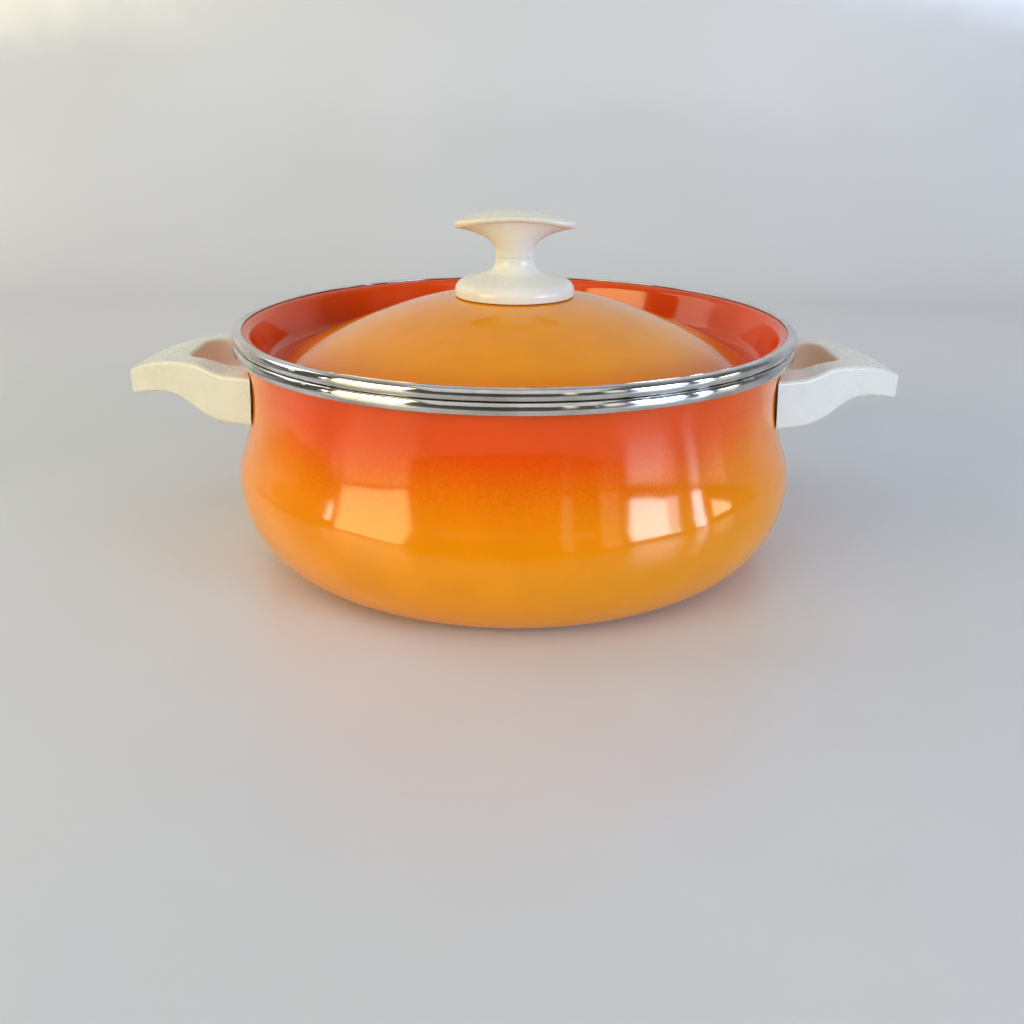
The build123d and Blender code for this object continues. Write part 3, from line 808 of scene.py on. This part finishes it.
@dataclass
class Lid:
    """Domed lid sunk in a ring, with its rim band. Radii and heights in metres."""

    rim_radius: float
    band_top: float
    band_bottom: float
    crown_top: float
    flange_radius: float
    flange_top: float
    flange_bottom: float
    band_inner: float
    wall: float
    steps: int = 320

    @classmethod
    def from_frame(cls) -> "Lid":
        """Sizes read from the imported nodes' boxes, with the sheet's thickness and the band's width."""
        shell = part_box("lid_shell")[1]
        low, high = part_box("lid_rim_band")
        clear = TRIM_SHEET + FIT
        band_width = 4.2 * MM
        return cls(
            rim_radius=high.x,
            band_top=high.z,
            band_bottom=low.z,
            crown_top=shell.z,
            flange_radius=shell.x,
            flange_top=high.z - clear,
            flange_bottom=low.z + clear,
            band_inner=high.x - band_width,
            wall=ENAMELLED_SHEET,
        )

    def section(self, inset: float) -> np.ndarray:
        """Section from the knob's hole to the turned-down edge.

        A level pad, a crown arc, a flatter flank arc, a hollow trough arc, the straight plug wall
        that touches the trough and the flange, the flange arc and the edge follow each other.

        Args:
            inset: Distance inward from the outside.

        Returns:
            Array of (n, 2) points.
        """
        pad, crown, edge, flank = 11.0 * MM, 140.0 * MM, 55.0 * MM, 400.0 * MM
        trough, flange, small = 5.0 * MM, 4.0 * MM, 1.5 * MM
        trough_inset, flange_inset = 16.7 * MM, 4.5 * MM
        turn = math.asin((edge - pad) / crown)
        crown_centre = (pad, self.crown_top - crown)
        flank_centre = (
            edge - flank * math.sin(turn),
            crown_centre[1] - (flank - crown) * math.cos(turn),
        )
        trough_radius = self.rim_radius - trough_inset
        flank_turn = math.asin((trough_radius - flank_centre[0]) / (flank + trough))
        trough_centre = (trough_radius, flank_centre[1] + (flank + trough) * math.cos(flank_turn))
        flange_centre = (self.rim_radius - flange_inset, self.flange_top - flange)
        across = flange_centre[0] - trough_centre[0]
        up = flange_centre[1] - trough_centre[1]
        lean = math.asin((trough + flange) / math.hypot(across, up))
        draft = math.pi / 2 - math.atan2(up, across) - lean
        degrees = math.degrees
        low, high = trough + inset, flange - inset
        last = (self.flange_radius - small, self.flange_top - small)
        return joined(
            run((SCREW_HOLE, self.crown_top - inset), (pad, self.crown_top - inset), 4),
            arc(crown_centre, crown - inset, 90, 90 - degrees(turn), 30),
            arc(flank_centre, flank - inset, 90 - degrees(turn), 90 - degrees(flank_turn), 34),
            arc(trough_centre, low, 270 - degrees(flank_turn), 360 - degrees(draft), 18),
            run(
                (trough_centre[0] + low * math.cos(draft), trough_centre[1] - low * math.sin(draft)),
                (flange_centre[0] - high * math.cos(draft), flange_centre[1] + high * math.sin(draft)),
                10,
            ),
            arc(flange_centre, high, 180 - degrees(draft), 90, 12),
            arc(last, small - inset, 90, 0, 6),
            np.array([(self.flange_radius - inset, self.flange_bottom)]),
        )

    def build(self, finishes: "Palette") -> None:
        """Make the shell and the band, dress them and put them on the lid's body."""
        outside = self.section(0.0)
        inside = self.section(self.wall)[::-1]
        section = joined(outside, inside)
        shell = turned("lid_enamelled_dome", section, self.steps)
        shell.data.materials.append(finishes.lid_outside)
        shell.data.materials.append(finishes.inside)
        paint_rows(shell, len(outside) - 1, len(section) - 1, 1)
        finish_piece(shell, "lid", "enamel", "lid_shell")
        band = turned("lid_rolled_band", self.band_section(), self.steps)
        band.data.materials.append(finishes.steel)
        finish_piece(band, "lid", "stainless_trim", "lid_rim_band")

    def band_section(self) -> np.ndarray:
        """Section of the band: a bulged face with rolled edges and two inward lips round the flange."""
        low, top, inner = self.band_bottom, self.band_top, self.band_inner
        face = self.rim_radius - TRIM_BULGE
        back = face - TRIM_SHEET
        curl = 0.3 * MM
        dip = 0.06 * MM
        return joined(
            np.array([(inner, low)]),
            rolled_face(self.rim_radius, low, top),
            run((face - 2 * TRIM_ROLL, top), (inner + curl, top - dip), 3),
            arc((inner + curl, top - curl), curl, 90, 270, 7),
            np.array([(back, top - TRIM_SHEET), (back, low + TRIM_SHEET), (inner, low + TRIM_SHEET)]),
        )


@dataclass
class Knob:
    """Two-piece cream knob. Lengths in metres."""

    base_radius: float
    base_low: float
    seam: float
    grip_top: float
    half_length: float
    half_depth: float
    neck_radius: float = 8.6 * MM
    steps: int = 160

    @classmethod
    def from_frame(cls) -> "Knob":
        """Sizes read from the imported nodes' boxes."""
        low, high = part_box("knob_base")
        grip_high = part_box("knob_grip")[1]
        return cls(
            base_radius=high.x,
            base_low=low.z,
            seam=high.z,
            grip_top=grip_high.z,
            half_length=grip_high.x,
            half_depth=grip_high.y,
        )

    def base_section(self) -> np.ndarray:
        """Section of the base: skirt, shoulder, straight slope, hollow and neck, then the underside."""
        skirt, shoulder, hollow = 2.1 * MM, 5.0 * MM, 6.5 * MM
        fall = 15.0
        slope = math.radians(fall)
        skirt_top = self.base_low + skirt
        centre = (self.base_radius - shoulder, skirt_top)
        low = (centre[0] + shoulder * math.sin(slope), centre[1] + shoulder * math.cos(slope))
        end = self.neck_radius + hollow * (1 - math.sin(slope))
        high = (end, low[1] + (low[0] - end) * math.tan(slope))
        hollow_centre = (self.neck_radius + hollow, high[1] + hollow * math.cos(slope))
        soft, edge = 0.35 * MM, 0.4 * MM
        inner = self.base_radius - 4.6 * MM
        boss, boss_low = 10.0 * MM, self.base_low + 1.4 * MM
        return joined(
            arc((self.base_radius - soft, self.base_low + soft), soft, 270, 360, 5),
            run((self.base_radius, self.base_low + 1.0 * MM), (self.base_radius, skirt_top), 3),
            arc(centre, shoulder, 0, 90 - fall, 18),
            run(low, high, 8),
            arc(hollow_centre, hollow, 270 - fall, 180, 18),
            run((self.neck_radius, hollow_centre[1]), (self.neck_radius, self.seam - edge), 3),
            arc((self.neck_radius - edge, self.seam - edge), edge, 0, 90, 4),
            np.array([(SCREW_HOLE, self.seam), (SCREW_HOLE, boss_low), (boss, boss_low)]),
            np.array([(boss, skirt_top), (inner, skirt_top), (inner, self.base_low)]),
        )

    def grip_grid(self) -> np.ndarray:
        """Grid of the grip, every row an oval in plan.

        With the opening angle, the underside reaches outward as one minus its cosine and rises as
        its sine, up to a thin rounded edge. The top falls from the crown with the squares of
        length and depth, and the edge follows it round.

        Returns:
            Array of (rows, columns, 3) points.
        """
        turn = np.linspace(0, 2 * math.pi, self.steps, endpoint=False)
        along, across = np.cos(turn), np.sin(turn)
        straight, edge = 2.4 * MM, 0.4 * MM
        neck_top = self.seam + straight
        tip_drop, side_drop, nose = 5.0 * MM, 2.2 * MM, 1.5 * MM
        bore, bore_depth = 4.05 * MM, 10.5 * MM
        long_edge, deep_edge = self.half_length - nose, self.half_depth - nose
        edge_top = self.grip_top - tip_drop * along**2 - side_drop * across**2
        thick = (3.4 * along**2 + 2.4 * across**2) * MM

        def rows(long_way: np.ndarray, deep_way: np.ndarray, height: np.ndarray) -> np.ndarray:
            """Ovals at half lengths, half depths and heights, one row for each."""
            x, y = long_way[:, None] * along, deep_way[:, None] * across
            return np.stack([x, y, np.broadcast_to(height, x.shape)], -1)

        soft = np.radians(np.linspace(0, 90, 5))
        foot_way = self.neck_radius - edge * (1 - np.sin(soft))
        foot = rows(foot_way, foot_way, (self.seam + edge * (1 - np.cos(soft)))[:, None])
        opening = np.radians(np.linspace(0, 70, 32))
        out = (1 - np.cos(opening)) / (1 - np.cos(opening[-1]))
        up = np.sin(opening) / np.sin(opening[-1])
        under = rows(
            self.neck_radius + (long_edge - self.neck_radius) * out,
            self.neck_radius + (deep_edge - self.neck_radius) * (out + up) / 2,
            neck_top + up[:, None] * (edge_top - thick - neck_top),
        )
        swing = np.radians(np.linspace(-90, 90, 15))[1:-1]
        bow = nose * np.cos(swing)
        middle = edge_top - thick / 2
        rim = rows(long_edge + bow, deep_edge + bow, middle + np.sin(swing)[:, None] * thick / 2)
        inward = np.linspace(1, 0, 26)
        fall = (self.grip_top - edge_top) * inward[:, None] ** 2
        crown = rows(long_edge * inward, deep_edge * inward, self.grip_top - fall)
        hole = np.array([bore])
        low = rows(hole, hole, np.array([[self.seam]]))
        high = rows(hole, hole, np.array([[self.seam + bore_depth]]))
        return np.concatenate([high * np.array([0, 0, 1]), high, low, foot, under, rim, crown])

    def build(self, finishes: "Palette") -> None:
        """Make the base and the grip, dress them and put them on the lid's body."""
        base = turned("knob_skirted_base", self.base_section(), self.steps)
        base.data.materials.append(finishes.cream)
        finish_piece(base, "lid", "cream_phenolic", "knob_base")
        grip = grid_piece("knob_winged_grip", self.grip_grid(), wrap_rows=False)
        grip.data.materials.append(finishes.cream)
        finish_piece(grip, "lid", "cream_phenolic", "knob_grip")


def finish_piece(piece: Piece, body: str, slot: str, *nodes: str) -> None:
    """Put a piece on its body, hide the nodes that it stands for, and report it."""
    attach(piece, body)
    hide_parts(*nodes)
    LOG.info("%s: %d vertices on body %s", piece.name, len(piece.data.vertices), body)


@dataclass
class Palette:
    """Every finish, built once."""

    pot_outside: Material
    lid_outside: Material
    inside: Material
    steel: Material
    cream: Material
    plated: Material
    brass: Material
    gasket: Material
    cloth: Material

    @classmethod
    def mix(cls) -> "Palette":
        """Build the finishes from one set of shared effects."""
        effects = Effects()
        # The pot's enamel is painted lighter at its sides and the lid's darker in its ring: painted light and
        # painted shade.
        return cls(
            pot_outside=SprayedEnamel("pot enamel", Fade.HEIGHT, 30 * MM, 84 * MM, red_kept_at_lit_sides=0.55).build(effects),
            lid_outside=SprayedEnamel("lid enamel", Fade.RADIUS, 78 * MM, 112 * MM, painted_ring_shade=0.12).build(effects),
            inside=InsideEnamel("inside enamel", "EFEADD").build(effects),
            steel=PolishedSteel("polished band", "D8D6D2", 0.05).build(effects),
            cream=CreamPhenolic("cream plastic", "ECE8DA", "E1DBC8").build(effects),
            plated=PlainMetal("plated fixings", "C8C6C0", "8E8A80", 0.25).build(effects),
            brass=PlainMetal("brass insert", "C9A052", "8C6A32", 0.3).build(effects),
            gasket=Rubber("gasket rubber", "221F1D").build(effects),
            cloth=PaleCloth("pale cloth", "D6D8D9", "DBD9D8", "544F4A").build(effects),
        )


def dress_nodes(frame: dict, finishes: Palette) -> None:
    """Give every CAD node that stays in view its finish, by its slot in the record."""
    by_slot = {
        "enamel": finishes.pot_outside,
        "stainless_trim": finishes.steel,
        "cream_phenolic": finishes.cream,
        "plated_steel": finishes.plated,
        "brass_insert": finishes.brass,
        "gasket": finishes.gasket,
    }
    slots = {part["node"]: part["material_slot"] for part in frame["record"]["subparts"]}
    for name, node in frame["nodes"].items():
        node.data.materials.clear()
        node.data.materials.append(by_slot[slots[name]])
        LOG.info("%s: finish %s", name, by_slot[slots[name]].name)


@dataclass
class Studio:
    """Floor, soft light and camera.

    Distances are in metres and angles in degrees. The lens is in millimetres, and the shift is a
    share of the picture's width.
    """

    distance: float = 0.4628
    height: float = 0.1963
    pitch: float = 22.05
    roll: float = 0.35
    yaw: float = -0.17
    shift: float = 0.0017578125
    lens: float = 35.15625

    def build(self, finishes: "Palette") -> None:
        """Make the floor, the world, the lamps and the camera."""
        self.floor(finishes)
        self.world()
        warm, sunny = (1.0, 0.96, 0.86), (1.0, 0.92, 0.58)
        cool, plain = (0.54, 0.70, 1.0), (0.97, 0.98, 1.0)
        self.window("left_window", -55.2, 16, 2.4, (1.28, 1.25), 31, sunny)
        self.window("left_gap", -74, 10, 2.4, (0.07, 0.3), 0.9, plain)
        self.window("left_side", -108, 30, 2.4, (1.4, 1.2), 11, plain)
        self.window("right_window", 53, 13.5, 2.4, (0.64, 0.74), 27, cool)
        self.window("right_curtain", 63.2, 13, 2.4, (0.22, 0.8), 4.6, cool)
        self.window("right_side_window", 75.1, 11, 2.4, (0.2, 0.8), 8, cool)
        self.window("far_side_window", 87, 8, 2.4, (0.4, 0.26), 2.0, warm)
        self.window("pale_strip", 20.5, 13, 2.4, (0.16, 0.9), 0.5, warm)
        self.window("pale_door", 37, 12, 2.4, (0.32, 0.9), 1.0, warm)
        self.window("ceiling", 0, 46, 2.0, (2.4, 2.0), 10.5, plain)
        self.camera()

    def floor(self, finishes: "Palette") -> None:
        """Make the plain floor, a level sheet that curves up into a wall far behind the pot."""
        reach, back, bend, top = 4.0, 0.62, 0.35, 2.2
        curve = arc((back, bend), bend, 270, 360, 24)
        line = joined(run((-reach, 0), (back, 0), 12), curve, run((back + bend, bend), (back + bend, top), 6))
        across = np.broadcast_to(np.array([-reach, reach]), (len(line), 2))
        along = np.broadcast_to(line[:, :1], across.shape)
        height = np.broadcast_to(line[:, 1:], across.shape)
        grid = np.stack([across, along, height], -1)
        count = len(line) - 1
        low = np.arange(count) * 2
        faces = np.stack([low, low + 1, low + 3, low + 2], 1)
        mesh = bpy.data.meshes.new("floor")
        mesh.from_pydata(grid.reshape(-1, 3).tolist(), [], faces.tolist())
        mesh.shade_smooth()
        mesh.materials.append(finishes.cloth)
        floor = linked("floor", mesh)

    def world(self) -> None:
        """Make the plain room: dim ahead of the pot, pale above and behind it."""
        world = bpy.data.worlds.new("soft room")
        bpy.context.scene.world = world
        world.use_nodes = True
        sheet = Sheet(world.node_tree)
        way = sheet.add("SeparateXYZ", {0: sheet.add("TexCoord").outputs["Generated"]})
        behind = sheet.scaled(way.outputs[1], -0.1, 0.6)
        above = sheet.scaled(way.outputs[2], 0.3, 0.9)
        pale = sheet.calc("MAXIMUM", behind, above)
        across = sheet.scaled(way.outputs[0], -0.7, 0.7)
        left, right, dim = (0.41, 0.41, 0.40), (0.28, 0.31, 0.37), (0.10, 0.095, 0.09)
        tone = sheet.blend(pale, dim, sheet.blend(across, left, right))
        background = world.node_tree.nodes["Background"]
        sheet.join(tone, background.inputs["Color"])

    @staticmethod
    def window(
        name: str, azimuth: float, elevation: float, away: float, size: Point, power: float, tint: Tint
    ) -> None:
        """Hang a soft rectangular lamp that faces the pot.

        Args:
            name: Name of the lamp.
            azimuth: Degrees to the right of the camera's side.
            elevation: Degrees above the floor.
            away: Distance from the pot.
            size: Width and height.
            power: Power in watts.
            tint: Colour of the light.
        """
        lamp = bpy.data.lights.new(name, "AREA")
        lamp.shape = "RECTANGLE"
        lamp.size, lamp.size_y = size
        lamp.energy = power
        lamp.color = tint
        piece = linked(name, lamp)
        turn, rise = math.radians(azimuth), math.radians(elevation)
        way = Vector((math.sin(turn) * math.cos(rise), -math.cos(turn) * math.cos(rise), math.sin(rise)))
        piece.location = way * away
        piece.rotation_euler = (-way).to_track_quat("-Z", "Y").to_euler()

    def camera(self) -> None:
        """Place the camera in front of the pot, looking down at it."""
        data = bpy.data.cameras.new("camera")
        data.sensor_width = SENSOR
        data.lens = self.lens
        data.shift_x = self.shift
        camera = linked("camera", data)
        pitch, roll, yaw = (math.radians(v) for v in (self.pitch, self.roll, self.yaw))
        ahead = Vector((math.sin(yaw), math.cos(yaw), 0))
        right = Vector((math.cos(yaw), -math.sin(yaw), 0))
        look = ahead * math.cos(pitch) - Vector((0, 0, math.sin(pitch)))
        up = ahead * math.sin(pitch) + Vector((0, 0, math.cos(pitch)))
        across = right * math.cos(roll) + up * math.sin(roll)
        above = up * math.cos(roll) - right * math.sin(roll)
        turn = Matrix((across, above, -look)).transposed()
        camera.matrix_world = Matrix.Translation((0, -self.distance, self.height)) @ turn.to_4x4()
        bpy.context.scene.camera = camera


def main() -> None:
    """Build the casserole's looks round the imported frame."""
    logging.basicConfig(level=logging.INFO, format="%(name)s: %(message)s")
    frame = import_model()
    bpy.context.scene.view_settings.view_transform = "Standard"
    finishes = Palette.mix()
    dress_nodes(frame, finishes)
    Pot.from_frame().build(finishes)
    Lid.from_frame().build(finishes)
    Knob.from_frame().build(finishes)
    Studio().build(finishes)


if __name__ == "__main__":
    main()
